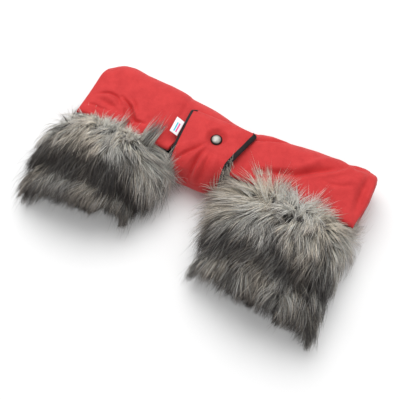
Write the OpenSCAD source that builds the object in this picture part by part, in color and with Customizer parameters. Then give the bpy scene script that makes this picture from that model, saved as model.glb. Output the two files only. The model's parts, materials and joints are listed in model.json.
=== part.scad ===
// Fur-cuffed hand muff for a pushchair handlebar.
// A padded panel is folded over the bar, a fur cuff closes each half on the user's side,
// and a wrap-round flap with a press stud closes the middle.
// X runs along the bar, +Y points away from the user and +Z up.
// The origin is on the bar's axis, halfway along the muff.

/* [Body] */
// Length of the folded panel along the bar
body_length = 436; // [380:2:520]
// Radius of the half-round seat that the bar lies in
bar_seat_r = 18; // [16:0.5:20]
// Thickness of the soft shell fabric
shell_t = 1.2; // [0.8:0.1:2]
// Thickness of the quilted wadding
wadding_t = 8.8; // [6:0.1:9]
// Thickness of the fleece lining
lining_t = 2; // [1.5:0.1:2.5]
// Distance from the bar's axis to the seam of the fur cuffs
seam_reach = 68; // [66:1:80]
// Length of the turned hem at each open end
hem_l = 6; // [4:1:10]

/* [Cuffs] */
// Width of a cuff's backing, flat
cuff_w = 138; // [120:2:150]
// Height of a cuff's backing
cuff_h = 50; // [46:1:54]
// Centre of the left cuff along the bar
left_cuff_x = -149; // [-160:1:-145]
// Centre of the right cuff along the bar
right_cuff_x = 136; // [135:1:150]
// Length of the left cuff's backing, which is pushed back a little
left_cuff_l = 104; // [80:1:120]
// Length of the right cuff's backing
right_cuff_l = 132; // [100:1:150]
// Thickness of the knitted backing
backing_t = 1.5; // [1:0.1:2]
// How far the pile stands out at the cuff's sides
pile_side = 22; // [15:1:25]
// How far the pile stands out above the cuff
pile_top = 17; // [10:1:25]
// How far the pile runs past the cuff's hem
pile_end = 28; // [15:1:35]
// Width of the elastic in the cuff's hem
elastic_w = 8; // [6:1:12]

/* [Flap] */
// Centre of the flap along the bar
flap_x = -13; // [-14:1:-5]
// Width of the flap at its hinge line
flap_root_w = 86; // [76:1:92]
// Width of the flap at its free edge
flap_end_w = 107; // [100:1:120]
// Centre of the flap's free edge along the bar
flap_end_x = -5.5; // [-8:0.5:-4]
// Reach of the flap's free edge past the bar's axis
flap_reach = 6; // [0:1:12]
// Hinge line's distance from the bar's axis
hinge_reach = 62; // [60:0.5:64]
// Thickness of the flap's shell
flap_shell_t = 1; // [0.8:0.1:1.2]
// Thickness of the flap's wadding
flap_wadding_t = 4.5; // [4:0.1:5]
// Thickness of the flap's fleece
flap_lining_t = 1.5; // [1:0.1:2]
// Width of the black binding on the flap's sides
binding_w = 4; // [3:0.5:6]

/* [Press stud and label] */
// Diameter of the press stud's cap
snap_d = 17; // [15:0.5:20]
// Press stud's place along the bar
snap_x = -3; // [-14:1:0]
// Press stud's distance from the bar's axis
snap_reach = 29; // [26:1:34]
// Length of the side label along the flap's edge
label_l = 27; // [20:1:32]
// How far the side label sticks out
label_w = 12; // [8:1:15]

/* [Hidden] */
$fn = 64;
eps = 0.01;

// Folded panel: half-heights of the faces between its layers, from the inside out
lining_r = bar_seat_r + lining_t;
wadding_r = lining_r + wadding_t;
body_r = wadding_r + shell_t;
layer_l = body_length - 2 * hem_l;

// Middle gap, where the folded panel is cut back for the flap
gap_w = flap_root_w + 2;
top_gap_reach = 52;
bottom_gap_reach = 58;

// Flap: layer heights above the bar's axis, and the round wrap under its hinge line
flap_gap = 0.4;
flap_t = flap_shell_t + flap_wadding_t + flap_lining_t;
flap_bottom = body_r + flap_gap;
flap_top = flap_bottom + flap_t;
flap_l = flap_reach + hinge_reach;
root_r = (flap_top + body_r) / 2;
root_layer_w = flap_root_w - 2 * binding_w;
root_z = root_r - body_r;
hinge_gap = 0.2;

// Press stud
flange_r = 6.5;
flange_t = 0.8;
stud_t = shell_t;
rim_t = 1;
dome_h = 1.8;
post_r = 2;
stud_head_r = 2.6;
stud_head_h = 2.6;
socket_h = 3.4;
socket_bore_r = 3.8;
socket_seat_r = flange_r + 0.3;

// Side label, folded double and sewn into the flap's left edge
label_t = 0.8;
label_corner_reach = 46;

// Region inside the folded panel's face at half-height r: a bar end joined to two flat walls
module fold_area(r, reach) {
    circle(r = r);
    translate([-reach, -r]) square([reach, 2 * r]);
}

// Turns a drawing in the Y-Z plane into a solid of length l, centred on x
module along_bar(l, x = 0) {
    translate([x - l / 2, 0, 0])
        rotate([90, 0, 90])
            linear_extrude(height = l) children();
}

// One layer of the folded panel, from half-height r_in to r_out
module fold_layer(r_in, r_out, l, x = 0) {
    along_bar(l, x)
        difference() {
            fold_area(r_out, seam_reach);
            fold_area(r_in, seam_reach + eps);
        }
}

// What the folded panel leaves out in the middle, above and below
module middle_gap() {
    depth = seam_reach;
    translate([flap_x - gap_w / 2, -top_gap_reach - depth, 0])
        cube([gap_w, depth, 2 * body_r]);
    translate([flap_x - gap_w / 2, -bottom_gap_reach - depth, -2 * body_r])
        cube([gap_w, depth, 2 * body_r]);
}

// A round hole or pin on the press stud's axis, from height z to z + h
module on_snap_axis(r, z, h) {
    translate([snap_x, -snap_reach, z]) cylinder(r = r, h = h);
}

module outer_shell() {
    color("crimson")
        difference() {
            fold_layer(wadding_r, body_r, layer_l);
            middle_gap();
            on_snap_axis(flange_r, wadding_r - eps, shell_t + 2 * eps);
        }
}

module wadding() {
    color("white")
        difference() {
            fold_layer(lining_r, wadding_r, layer_l);
            middle_gap();
            on_snap_axis(post_r, lining_r - eps, wadding_t + 2 * eps);
        }
}

module fleece_lining() {
    color("#222222")
        difference() {
            fold_layer(bar_seat_r, lining_r, layer_l);
            middle_gap();
            on_snap_axis(post_r, bar_seat_r - eps, lining_t + 2 * eps);
        }
}

// Hem that closes the layers at an open end; side is -1 for left and 1 for right
module end_hem(side) {
    color("crimson")
        fold_layer(bar_seat_r, body_r, hem_l, side * (body_length - hem_l) / 2);
}

// Flat oval of width w and height h in the X-Z plane, centred at height z
module oval(w, h, z = 0) {
    translate([0, z]) {
        translate([-(w - h) / 2, -h / 2]) square([w - h, h]);
        for (side = [-1, 1])
            translate([side * (w - h) / 2, 0]) circle(d = h);
    }
}

// Oval tube that runs from reach y towards the user for length l
module cuff_tube(x, l, w_out, h_out, z_out, w_in, h_in, y = seam_reach) {
    translate([x, -y, 0])
        rotate([90, 0, 0])
            linear_extrude(height = l)
                difference() {
                    oval(w_out, h_out, z_out);
                    oval(w_in, h_in);
                }
}

// Faux-fur pile round a cuff: its outer shape, with the hand opening left free
module cuff_fur(x, l) {
    pile_bottom = body_r - cuff_h / 2;
    pile_h = cuff_h + pile_bottom + pile_top;
    pile_z = (pile_top - pile_bottom) / 2;
    color("dimgray")
        cuff_tube(x, l + pile_end, cuff_w + 2 * pile_side, pile_h, pile_z, cuff_w, cuff_h);
}

module cuff_backing(x, l) {
    inner = 2 * backing_t;
    color("gray")
        cuff_tube(x, l, cuff_w, cuff_h, 0, cuff_w - inner, cuff_h - inner);
}

// Fleece tube inside a cuff, short of the hem by the elastic's width
module cuff_lining(x, l) {
    outer = 2 * backing_t;
    inner = outer + 2 * lining_t;
    color("#222222")
        cuff_tube(x, l - elastic_w, cuff_w - outer, cuff_h - outer, 0, cuff_w - inner, cuff_h - inner);
}

module cuff_elastic(x, l) {
    outer = 2 * backing_t;
    inner = outer + 2 * lining_t;
    color("#333333")
        cuff_tube(x, elastic_w, cuff_w - outer, cuff_h - outer, 0, cuff_w - inner, cuff_h - inner,
                  seam_reach + l - elastic_w);
}

// Curved wall from the lower panel's edge round to the hinge line, from depth t_in to t_out
// below the flap's outer face
module root_layer(t_out, t_in, w, x) {
    along_bar(w, x)
        difference() {
            translate([-bottom_gap_reach, root_z]) circle(r = root_r - t_out);
            translate([-bottom_gap_reach, root_z]) circle(r = root_r - t_in);
            translate([-bottom_gap_reach, -2 * root_r]) square(4 * root_r);
            translate([-hinge_reach - hinge_gap, 0]) square(2 * root_r);
        }
}

module flap_root_shell() {
    color("crimson") root_layer(0, flap_shell_t, root_layer_w, flap_x);
}

module flap_root_wadding() {
    color("white")
        root_layer(flap_shell_t, flap_shell_t + flap_wadding_t, root_layer_w, flap_x);
}

module flap_root_lining() {
    color("#222222")
        root_layer(flap_shell_t + flap_wadding_t, flap_t, root_layer_w, flap_x);
}

module flap_root_bindings() {
    color("#181818")
        for (side = [-1, 1])
            root_layer(0, flap_t, binding_w, flap_x + side * (flap_root_w - binding_w) / 2);
}

// Outline of the moving flap seen from above, drawn in by inset at its two sides
module flap_outline(inset = 0) {
    root = flap_root_w / 2 - inset;
    end = flap_end_w / 2 - inset;
    end_shift = flap_end_x - flap_x;
    near = -hinge_reach + hinge_gap;
    translate([flap_x, 0])
        polygon([[-root, near], [root, near], [end_shift + end, flap_reach], [end_shift - end, flap_reach]]);
}

// One layer of the moving flap between two heights
module flap_layer(z, t) {
    translate([0, 0, z])
        linear_extrude(height = t) flap_outline(binding_w);
}

module flap_shell() {
    color("crimson")
        difference() {
            flap_layer(flap_top - flap_shell_t, flap_shell_t);
            on_snap_axis(post_r, flap_bottom, 2 * flap_t);
        }
}

module flap_wadding() {
    color("white")
        difference() {
            flap_layer(flap_bottom + flap_lining_t, flap_wadding_t);
            on_snap_axis(socket_seat_r, flap_bottom - eps, socket_h + eps);
            on_snap_axis(post_r, flap_bottom, 2 * flap_t);
        }
}

module flap_lining() {
    color("#222222")
        difference() {
            flap_layer(flap_bottom, flap_lining_t);
            on_snap_axis(socket_seat_r, flap_bottom - eps, socket_h + eps);
        }
}

// Binding on one side edge of the moving flap; side is -1 for left and 1 for right
module flap_binding(side) {
    color("#181818")
        translate([0, 0, flap_bottom])
            linear_extrude(height = flap_t)
                intersection() {
                    difference() {
                        flap_outline();
                        flap_outline(binding_w);
                    }
                    translate([flap_x + (side > 0 ? 0 : -flap_end_w), -flap_end_w])
                        square([flap_end_w, 2 * flap_end_w]);
                }
}

// Domed cap on the flap, with the post that holds the socket
module snap_cap() {
    cap_r = snap_d / 2;
    dome_r = (cap_r * cap_r + dome_h * dome_h) / (2 * dome_h);
    color("silver")
        union() {
            on_snap_axis(cap_r, flap_top, rim_t);
            intersection() {
                translate([snap_x, -snap_reach, flap_top + rim_t + dome_h - dome_r])
                    sphere(r = dome_r);
                on_snap_axis(cap_r, flap_top + rim_t - eps, 2 * dome_h);
            }
            on_snap_axis(post_r, flap_bottom + socket_h - eps, flap_t - socket_h + 2 * eps);
        }
}

module snap_socket() {
    color("silver")
        difference() {
            on_snap_axis(flange_r, flap_bottom, socket_h);
            on_snap_axis(socket_bore_r, flap_bottom - eps, socket_h - flange_t + eps);
        }
}

// Stud on the folded panel, which the socket snaps over
module snap_stud() {
    color("silver")
        union() {
            on_snap_axis(flange_r, body_r - stud_t, stud_t);
            on_snap_axis(stud_head_r, body_r - eps, stud_head_h + eps);
        }
}

// Rivet inside the folded panel that holds the stud
module snap_rivet() {
    color("silver")
        union() {
            on_snap_axis(flange_r, bar_seat_r - flange_t, flange_t);
            on_snap_axis(post_r, bar_seat_r - eps, wadding_r - bar_seat_r + eps);
        }
}

// Label beside the flap's left edge, square to it
module side_label() {
    lean = atan(((flap_end_w - flap_root_w) / 2 + flap_x - flap_end_x) / flap_l);
    corner_x = flap_x - flap_root_w / 2 - (hinge_reach - label_corner_reach) * tan(lean);
    color("white")
        translate([corner_x, -label_corner_reach, flap_bottom + flap_t / 2 - label_t / 2])
            rotate([0, 0, lean])
                translate([-label_w, 0, 0])
                    cube([label_w, label_l, label_t]);
}

outer_shell();
wadding();
fleece_lining();
end_hem(-1);  // left_end_hem
end_hem(1);  // right_end_hem
cuff_fur(left_cuff_x, left_cuff_l);  // left_cuff_fur
cuff_fur(right_cuff_x, right_cuff_l);  // right_cuff_fur
cuff_backing(left_cuff_x, left_cuff_l);  // left_cuff_backing
cuff_backing(right_cuff_x, right_cuff_l);  // right_cuff_backing
cuff_lining(left_cuff_x, left_cuff_l);  // left_cuff_lining
cuff_lining(right_cuff_x, right_cuff_l);  // right_cuff_lining
cuff_elastic(left_cuff_x, left_cuff_l);  // left_cuff_elastic
cuff_elastic(right_cuff_x, right_cuff_l);  // right_cuff_elastic
flap_root_shell();
flap_root_wadding();
flap_root_lining();
flap_root_bindings();
flap_shell();
flap_wadding();
flap_lining();
flap_binding(-1);  // flap_binding_left
flap_binding(1);  // flap_binding_right
snap_cap();
snap_socket();
snap_stud();
snap_rivet();
side_label();
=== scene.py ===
"""Looks of a fur-cuffed handlebar muff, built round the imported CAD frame."""

import json
import math
from types import SimpleNamespace

import bpy
import numpy as np
from mathutils import Matrix, Vector


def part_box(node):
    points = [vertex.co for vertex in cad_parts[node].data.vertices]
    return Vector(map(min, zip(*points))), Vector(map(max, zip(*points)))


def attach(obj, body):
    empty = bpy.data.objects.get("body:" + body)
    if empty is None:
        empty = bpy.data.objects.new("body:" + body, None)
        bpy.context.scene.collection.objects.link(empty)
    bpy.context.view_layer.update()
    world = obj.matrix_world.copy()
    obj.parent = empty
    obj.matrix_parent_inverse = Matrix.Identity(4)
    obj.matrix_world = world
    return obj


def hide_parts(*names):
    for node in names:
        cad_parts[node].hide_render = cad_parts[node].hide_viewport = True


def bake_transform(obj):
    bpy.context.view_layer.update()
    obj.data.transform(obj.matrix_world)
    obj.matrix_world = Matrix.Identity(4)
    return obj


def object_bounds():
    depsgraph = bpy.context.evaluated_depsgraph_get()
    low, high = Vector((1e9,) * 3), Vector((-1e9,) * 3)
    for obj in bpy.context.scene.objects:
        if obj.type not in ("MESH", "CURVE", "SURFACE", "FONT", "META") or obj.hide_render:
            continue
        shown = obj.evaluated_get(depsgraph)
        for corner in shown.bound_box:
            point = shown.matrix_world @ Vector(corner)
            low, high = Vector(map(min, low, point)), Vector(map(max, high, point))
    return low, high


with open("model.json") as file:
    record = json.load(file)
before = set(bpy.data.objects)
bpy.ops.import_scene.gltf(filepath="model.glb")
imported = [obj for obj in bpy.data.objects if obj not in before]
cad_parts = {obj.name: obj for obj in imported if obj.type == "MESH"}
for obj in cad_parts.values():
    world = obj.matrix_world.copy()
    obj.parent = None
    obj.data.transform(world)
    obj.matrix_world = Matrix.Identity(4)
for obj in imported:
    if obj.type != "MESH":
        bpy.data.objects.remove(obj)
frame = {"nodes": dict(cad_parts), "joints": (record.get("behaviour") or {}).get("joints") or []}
cad_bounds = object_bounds()

MM = 0.001


def box_mm(node):
    """Lowest and highest corners of a CAD node, in millimetres."""
    low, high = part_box(node)
    return np.array(low) / MM, np.array(high) / MM


# ---------------- sizes from the frame, in millimetres
shell_low, shell_high = box_mm("outer_shell")
hem_low = box_mm("left_end_hem")[0]
wrap_low = box_mm("flap_root_shell")[0]
bindings_low, bindings_high = box_mm("flap_root_bindings")
flap_high = box_mm("flap_shell")[1]
flap_left_low = box_mm("flap_binding_left")[0]
flap_right_high = box_mm("flap_binding_right")[1]
cap_low, cap_high = box_mm("snap_cap")
label_low, label_high = box_mm("side_label")

SEAT_R = 18.0                              # radius of the handlebar's seat
BODY_R = shell_high[2]                     # half-height of the folded panel
BODY_END = -hem_low[0]                     # half-length along the bar
SEAM_Y = shell_low[1]                      # seam of the fur cuffs
PANEL_T = BODY_R - SEAT_R                  # shell, wadding and lining together
FLAP_TOP = flap_high[2]                    # outer face of the flap
FLAP_T = FLAP_TOP - flap_left_low[2]       # whole thickness of the flap
FLAP_X = (bindings_low[0] + bindings_high[0]) / 2
# X of the flap's left (-1) and right (1) side, at the wrap and at the free end
FLAP_SIDES = {-1: (bindings_low[0], flap_left_low[0]), 1: (bindings_high[0], flap_right_high[0])}
FLAP_REACH = flap_high[1]                  # free edge of the flap
HINGE = np.array(frame["joints"][0]["pos_m"]) / MM
ROOT_R = (FLAP_TOP + BODY_R) / 2           # wrap's outer radius
ROOT_Z = ROOT_R - BODY_R                   # height of the wrap's centre
ROOT_Y = wrap_low[1] + ROOT_R              # distance of the wrap's centre
SNAP = (cap_low + cap_high) / 2
LABEL_NEARER = 3.0                         # how far the ribbon is sewn nearer than its CAD block
LABEL_MIDDLE = (label_low[1] + label_high[1]) / 2 - LABEL_NEARER
FLOOR = cad_bounds[0][2] / MM


# ---------------- mesh helpers
def place(name, data):
    """A new object in the scene."""
    obj = bpy.data.objects.new(name, data)
    bpy.context.scene.collection.objects.link(obj)
    return obj


def mesh_object(name, points, faces, material, uv=None):
    """A smooth mesh object. points are in mm, and faces is a list of index arrays."""
    mesh = bpy.data.meshes.new(name)
    mesh.vertices.add(len(points))
    mesh.vertices.foreach_set("co", (np.asarray(points, float) * MM).astype(np.float32).ravel())
    loops = np.concatenate([np.asarray(f).ravel() for f in faces])
    counts = np.concatenate([np.full(len(f), np.asarray(f).shape[1]) for f in faces])
    mesh.loops.add(len(loops))
    mesh.loops.foreach_set("vertex_index", loops.astype(np.int32))
    mesh.polygons.add(len(counts))
    starts = np.concatenate([[0], np.cumsum(counts)[:-1]])
    mesh.polygons.foreach_set("loop_start", starts.astype(np.int32))
    mesh.update(calc_edges=True)
    if uv is not None:
        layer = mesh.uv_layers.new(name="OFBake")
        layer.data.foreach_set("uv", uv.astype(np.float32).ravel())
    mesh.validate()
    mesh.shade_smooth()
    mesh.materials.append(material)
    return place(name, mesh)


def unit(vectors):
    """Vectors scaled to a length of 1."""
    return vectors / np.maximum(np.linalg.norm(vectors, axis=-1, keepdims=True), 1e-9)


def grid_quads(nu, nv, wrap_v=False):
    """Faces of a grid of nu rows and nv columns, whose columns may close into a ring."""
    last = nv if wrap_v else nv - 1
    i, j = np.meshgrid(np.arange(nu - 1), np.arange(last), indexing="ij")
    k = (j + 1) % nv
    return np.stack([i * nv + j, (i + 1) * nv + j, (i + 1) * nv + k, i * nv + k], -1).reshape(-1, 4)


def normals_of(grid, wrap_v=False):
    """Unit normals of a grid of points, from its own differences."""
    du = np.gradient(grid, axis=0)
    if wrap_v:
        dv = np.roll(grid, -1, axis=1) - np.roll(grid, 1, axis=1)
    else:
        dv = np.gradient(grid, axis=1)
    return unit(np.cross(du, dv))


def sheet_object(name, grid, thickness, material, wrap_v=False):
    """A closed sheet: a grid of points, and the same grid moved by thickness along its normals."""
    nu, nv = grid.shape[:2]
    outer = grid.reshape(-1, 3)
    inner = (grid - normals_of(grid, wrap_v) * thickness).reshape(-1, 3)
    count = nu * nv
    top = grid_quads(nu, nv, wrap_v)
    bottom = top[:, ::-1] + count
    idx = np.arange(count).reshape(nu, nv)
    rims = [idx[0, :], idx[-1, ::-1]]
    if not wrap_v:
        rims += [idx[::-1, 0], idx[:, -1]]
    walls = []
    for rim in rims:
        a, b = rim[:-1], rim[1:]
        if wrap_v:
            a, b = rim, np.roll(rim, -1)
        walls.append(np.stack([a, b, b + count, a + count], -1))
    return mesh_object(name, np.vstack([outer, inner]), [np.vstack([top, bottom] + walls)], material)


def lathe(name, profile, centre, material, steps=64):
    """A turned part about a vertical axis, from (radius, height) pairs that start and end on the axis."""
    profile = np.array(profile, float)
    turn = np.linspace(0, 2 * math.pi, steps, endpoint=False)
    ring = profile[1:-1]
    radius, height = ring[:, 0:1], np.repeat(ring[:, 1:2], steps, 1)
    rings = np.stack([radius * np.cos(turn), radius * np.sin(turn), height], -1)
    points = np.vstack([rings.reshape(-1, 3), [[0, 0, profile[0, 1]], [0, 0, profile[-1, 1]]]])
    first_centre, last_centre = len(points) - 2, len(points) - 1
    j = np.arange(steps)
    k = (j + 1) % steps
    last_ring = first_centre - steps
    caps = np.vstack([np.stack([np.full(steps, first_centre), j, k], -1),
                      np.stack([np.full(steps, last_centre), last_ring + k, last_ring + j], -1)])
    walls = grid_quads(len(ring), steps, True)
    return mesh_object(name, points + np.asarray(centre), [walls, caps], material)


def smooth_step(x, low, high):
    """0 below low, 1 above high, smooth between."""
    t = np.clip((np.asarray(x, float) - low) / (high - low), 0, 1)
    return t * t * (3 - 2 * t)


def value_noise(x, y, seed, size):
    """Smooth noise from -1 to 1 in two dimensions with features of about the given size."""
    rng = np.random.default_rng(seed)
    cells = 64
    table = rng.random((cells, cells)) * 2 - 1
    u, v = np.asarray(x, float) / size + 1000, np.asarray(y, float) / size + 1000
    i, j = np.floor(u).astype(int), np.floor(v).astype(int)
    fu, fv = smooth_step(u - i, 0, 1), smooth_step(v - j, 0, 1)
    i, j, next_i, next_j = i % cells, j % cells, (i + 1) % cells, (j + 1) % cells
    near = table[i, j] * (1 - fu) + table[next_i, j] * fu
    far = table[i, next_j] * (1 - fu) + table[next_i, next_j] * fu
    return near * (1 - fv) + far * fv


def fold(x, y, path, width, height):
    """Height of a soft fold along a path of (x, y) points, fading at its ends. A crease is below 0."""
    path = np.array(path, float)
    lengths = np.linalg.norm(np.diff(path, axis=0), axis=1)
    total = lengths.sum()
    best = np.full(np.shape(x), 1e9)
    along = np.zeros(np.shape(x))
    start = 0.0
    for a, b, length in zip(path[:-1], path[1:], lengths):
        d = (b - a) / length
        t = np.clip((x - a[0]) * d[0] + (y - a[1]) * d[1], 0, length)
        far = np.hypot(x - a[0] - d[0] * t, y - a[1] - d[1] * t)
        closer = far < best
        best = np.where(closer, far, best)
        along = np.where(closer, (start + t) / total, along)
        start += length
    fade = np.clip(np.sin(math.pi * np.clip(along, 0.04, 0.96)), 0, 1) ** 0.6
    return height * np.exp(-(best / width) ** 2) * fade


# ---------------- materials
RIB_SPACING = 0.314                          # metres between a wave texture's ribs at a scale of 1
GRAIN = math.radians(12)                     # turn of the yarns from the bar
CROSS_GRAIN = math.radians(102)
# the label's bars: X limits and colour, and their ends from the label's middle
LABEL_BARS = [(-64.4, -62.4, (0.05, 0.55, 0.68)), (-61.4, -59.4, (0.85, 0.08, 0.32))]
LABEL_BAR_ENDS = (-8.5, 6.5)
CAP_BRIGHT_R, CAP_RIM_FADE = 5.9, 1.4        # the cap keeps its own colour up to a radius, and past a fade it is painted near black: painted shade and a painted dark reflection round its rim


class Shading:
    """A new material and its nodes."""

    def __init__(self, name):
        self.material = bpy.data.materials.new(name)
        self.material.use_nodes = True
        self.nodes = self.material.node_tree.nodes
        self.links = self.material.node_tree.links
        self.surface = self.nodes["Principled BSDF"].inputs

    def give(self, inputs, values):
        """Set each named input to a plain number, a plain colour or vector, or another node's output."""
        for name, value in values.items():
            socket = inputs[name]
            if isinstance(value, bpy.types.NodeSocket):
                self.links.new(value, socket)
            elif isinstance(value, tuple) and socket.type == "RGBA":
                socket.default_value = (*value, 1)
            else:
                socket.default_value = value

    def add(self, kind, **inputs):
        """A new node with some of its inputs set."""
        node = self.nodes.new("ShaderNode" + kind)
        self.give(node.inputs, inputs)
        return node

    def coords(self):
        return self.add("TexCoord").outputs["Object"]

    def noise(self, coords, scale, detail=2.0, roughness=0.5):
        node = self.add("TexNoise", Vector=coords, Scale=scale, Detail=detail, Roughness=roughness)
        return node.outputs["Fac"]

    def ribs(self, coords, pitch, turn):
        """Fine parallel ribs a pitch in metres apart, turned about Z."""
        turned = self.add("Mapping", Vector=coords, Rotation=(0, 0, turn)).outputs["Vector"]
        node = self.add("TexWave", Vector=turned, Scale=RIB_SPACING / pitch, Distortion=0.6, Detail=1.0)
        return node.outputs["Fac"]

    def math(self, operation, a, b=0.0):
        node = self.add("Math")
        node.operation = operation
        self.give(node.inputs, {0: a, 1: b})
        return node.outputs[0]

    def ramp(self, fac, *stops):
        """Colours at places from 0 to 1."""
        node = self.add("ValToRGB", Fac=fac)
        elements = node.color_ramp.elements
        while len(elements) < len(stops):
            elements.new(0.5)
        for element, (position, colour) in zip(elements, stops):
            element.position = position
            element.color = (*colour, 1)
        return node.outputs["Color"]

    def mix(self, factor, a, b, blend="MIX"):
        node = self.add("Mix")
        node.data_type = "RGBA"
        node.blend_type = blend
        self.give(node.inputs, {"Factor": factor, "A": a, "B": b})
        return node.outputs["Result"]

    def bump(self, height, strength, distance):
        node = self.add("Bump", Height=height, Strength=strength, Distance=distance)
        self.give(self.surface, {"Normal": node.outputs["Normal"]})


def woven_cloth(name, dark, light, pitch, roughness, sheen, tint):
    """Plain-woven cloth: two sets of ribs for the yarns, mottled colour, and a soft sheen."""
    cloth = Shading(name)
    coords = cloth.coords()
    weave = cloth.math("MAXIMUM", cloth.ribs(coords, pitch, GRAIN), cloth.ribs(coords, pitch, CROSS_GRAIN))
    mottle = cloth.noise(coords, 55, 5.0, 0.65)
    speck = cloth.noise(coords, 900, 2.0, 0.7)
    mixed = cloth.math("ADD", cloth.math("MULTIPLY", mottle, 0.62), cloth.math("MULTIPLY", speck, 0.38))
    cloth.bump(cloth.math("ADD", weave, cloth.math("MULTIPLY", mottle, 1.5)), 0.6, 0.00012)
    cloth.give(cloth.surface, {
        "Base Color": cloth.ramp(mixed, (0.36, dark), (0.62, light)), "Roughness": roughness,
        "Specular IOR Level": 0.3, "Sheen Weight": sheen, "Sheen Roughness": 0.45, "Sheen Tint": tint,
    })
    return cloth.material


def fleece_cloth(name, dark, light):
    """Short-pile fleece: small round tufts."""
    cloth = Shading(name)
    coords = cloth.coords()
    tufts = cloth.add("TexVoronoi", Vector=coords, Scale=520)
    cloud = cloth.noise(coords, 90, 4.0, 0.6)
    height = cloth.math("ADD", tufts.outputs["Distance"], cloth.math("MULTIPLY", cloud, 0.8))
    cloth.bump(height, 0.8, 0.0006)
    cloth.give(cloth.surface, {
        "Base Color": cloth.ramp(cloud, (0.3, dark), (0.7, light)), "Roughness": 0.95,
        "Specular IOR Level": 0.1, "Sheen Weight": 0.25, "Sheen Roughness": 0.6,
    })
    return cloth.material


def beyond_radius(shading, coords, radius, fade):
    """From 0 within a radius of the stud's axis to 1 past a fade, both in millimetres."""
    split = shading.add("SeparateXYZ", Vector=coords)
    squares = []
    for axis, middle in zip("XY", SNAP):
        offset = shading.math("SUBTRACT", split.outputs[axis], middle * MM)
        squares.append(shading.math("POWER", offset, 2.0))
    distance = shading.math("SQRT", shading.math("ADD", *squares))
    share = shading.math("DIVIDE", shading.math("SUBTRACT", distance, radius * MM), fade * MM)
    return shading.math("MINIMUM", shading.math("MAXIMUM", share, 0.0), 1.0)


def nickel_metal(name, painted_shade_rim=False):
    """Plated metal with fine turning marks and a little wear, and on the cap a rim painted dark as painted
    shade and a painted dark reflection.
    """
    metal = Shading(name)
    coords = metal.coords()
    wear = metal.noise(coords, 160, 4.0, 0.6)
    colour = metal.ramp(wear, (0.3, (0.24, 0.235, 0.22)), (0.7, (0.38, 0.37, 0.34)))
    if painted_shade_rim:
        # painted shade: the cap's rim is painted near black for the shadow and dark reflection round its
        # edge
        rim = beyond_radius(metal, coords, CAP_BRIGHT_R, CAP_RIM_FADE)
        colour = metal.mix(rim, colour, (0.03, 0.026, 0.025))
    metal.bump(metal.noise(coords, 1400, 3.0, 0.6), 0.25, 0.00005)
    metal.give(metal.surface, {
        "Base Color": colour, "Metallic": 1.0,
        "Roughness": metal.ramp(wear, (0.3, (0.52, 0.52, 0.52)), (0.75, (0.40, 0.40, 0.40))),
    })
    return metal.material


def ribbon_satin():
    """White satin ribbon with two plain woven bars, one teal and one pink."""
    satin = Shading("label_ribbon")
    coords = satin.coords()
    split = satin.add("SeparateXYZ", Vector=coords)
    across, along = split.outputs["X"], split.outputs["Y"]
    low_end, high_end = (LABEL_MIDDLE + end for end in LABEL_BAR_ENDS)
    colour = satin.ramp(satin.noise(coords, 700), (0.3, (0.80, 0.80, 0.82)), (0.7, (0.93, 0.93, 0.95)))
    for low, high, bar in LABEL_BARS:
        inside = 1.0
        for value, lowest, highest in ((across, low, high), (along, low_end, high_end)):
            for test, limit in (("GREATER_THAN", lowest), ("LESS_THAN", highest)):
                inside = satin.math("MULTIPLY", inside, satin.math(test, value, limit * MM))
        colour = satin.mix(inside, colour, bar)
    satin.bump(satin.ribs(coords, 0.0005, GRAIN), 0.4, 0.00005)
    satin.give(satin.surface, {"Base Color": colour, "Roughness": 0.5, "Sheen Weight": 0.2})
    return satin.material


def fur_hair():
    """Faux-fur hair. On its map v runs from root to tip, and u from dark to light strands, in a warm half
    and then a cool half."""
    hair = Shading("faux_fur")
    uv = hair.add("UVMap")
    uv.uv_map = "OFBake"
    split = hair.add("SeparateXYZ", Vector=uv.outputs["UV"])
    doubled = hair.math("MULTIPLY", split.outputs["X"], 2.0)
    cool = hair.math("GREATER_THAN", doubled, 1.0)
    shade = hair.math("SUBTRACT", doubled, cool)
    light = hair.ramp(split.outputs["Y"], (0.0, (0.22, 0.21, 0.18)), (0.22, (0.62, 0.60, 0.52)),
                      (0.55, (1.0, 0.97, 0.885)), (0.78, (0.80, 0.745, 0.68)),
                      (0.91, (0.34, 0.285, 0.255)), (1.0, (0.12, 0.09, 0.085)))
    dark = hair.ramp(split.outputs["Y"], (0.0, (0.018, 0.016, 0.016)), (0.35, (0.042, 0.038, 0.035)),
                     (0.7, (0.030, 0.025, 0.024)), (1.0, (0.014, 0.010, 0.010)))
    tint = hair.mix(cool, (1.0, 0.94, 0.87), (0.955, 0.975, 1.0))
    colour = hair.mix(1.0, hair.mix(shade, dark, light), tint, blend="MULTIPLY")
    hair.give(hair.surface, {
        "Base Color": colour, "Roughness": 0.55, "Specular IOR Level": 0.4, "Sheen Weight": 0.06,
    })
    return hair.material


RED = woven_cloth("red_shell", (0.51, 0.026, 0.028), (0.62, 0.041, 0.041), pitch=0.0009,
                  roughness=0.75, sheen=0.12, tint=(1.0, 0.75, 0.72))
BINDING = woven_cloth("black_binding", (0.008, 0.008, 0.009), (0.024, 0.024, 0.026), pitch=0.0007,
                      roughness=0.8, sheen=0.05, tint=(0.9, 0.9, 1.0))
FLEECE = fleece_cloth("black_fleece", (0.008, 0.008, 0.009), (0.022, 0.022, 0.024))
BACKING = fleece_cloth("fur_backing", (0.030, 0.028, 0.027), (0.075, 0.072, 0.068))
NICKEL = nickel_metal("nickel")
CAP_NICKEL = nickel_metal("nickel_cap", painted_shade_rim=True)
RIBBON = ribbon_satin()
FUR = fur_hair()


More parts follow.
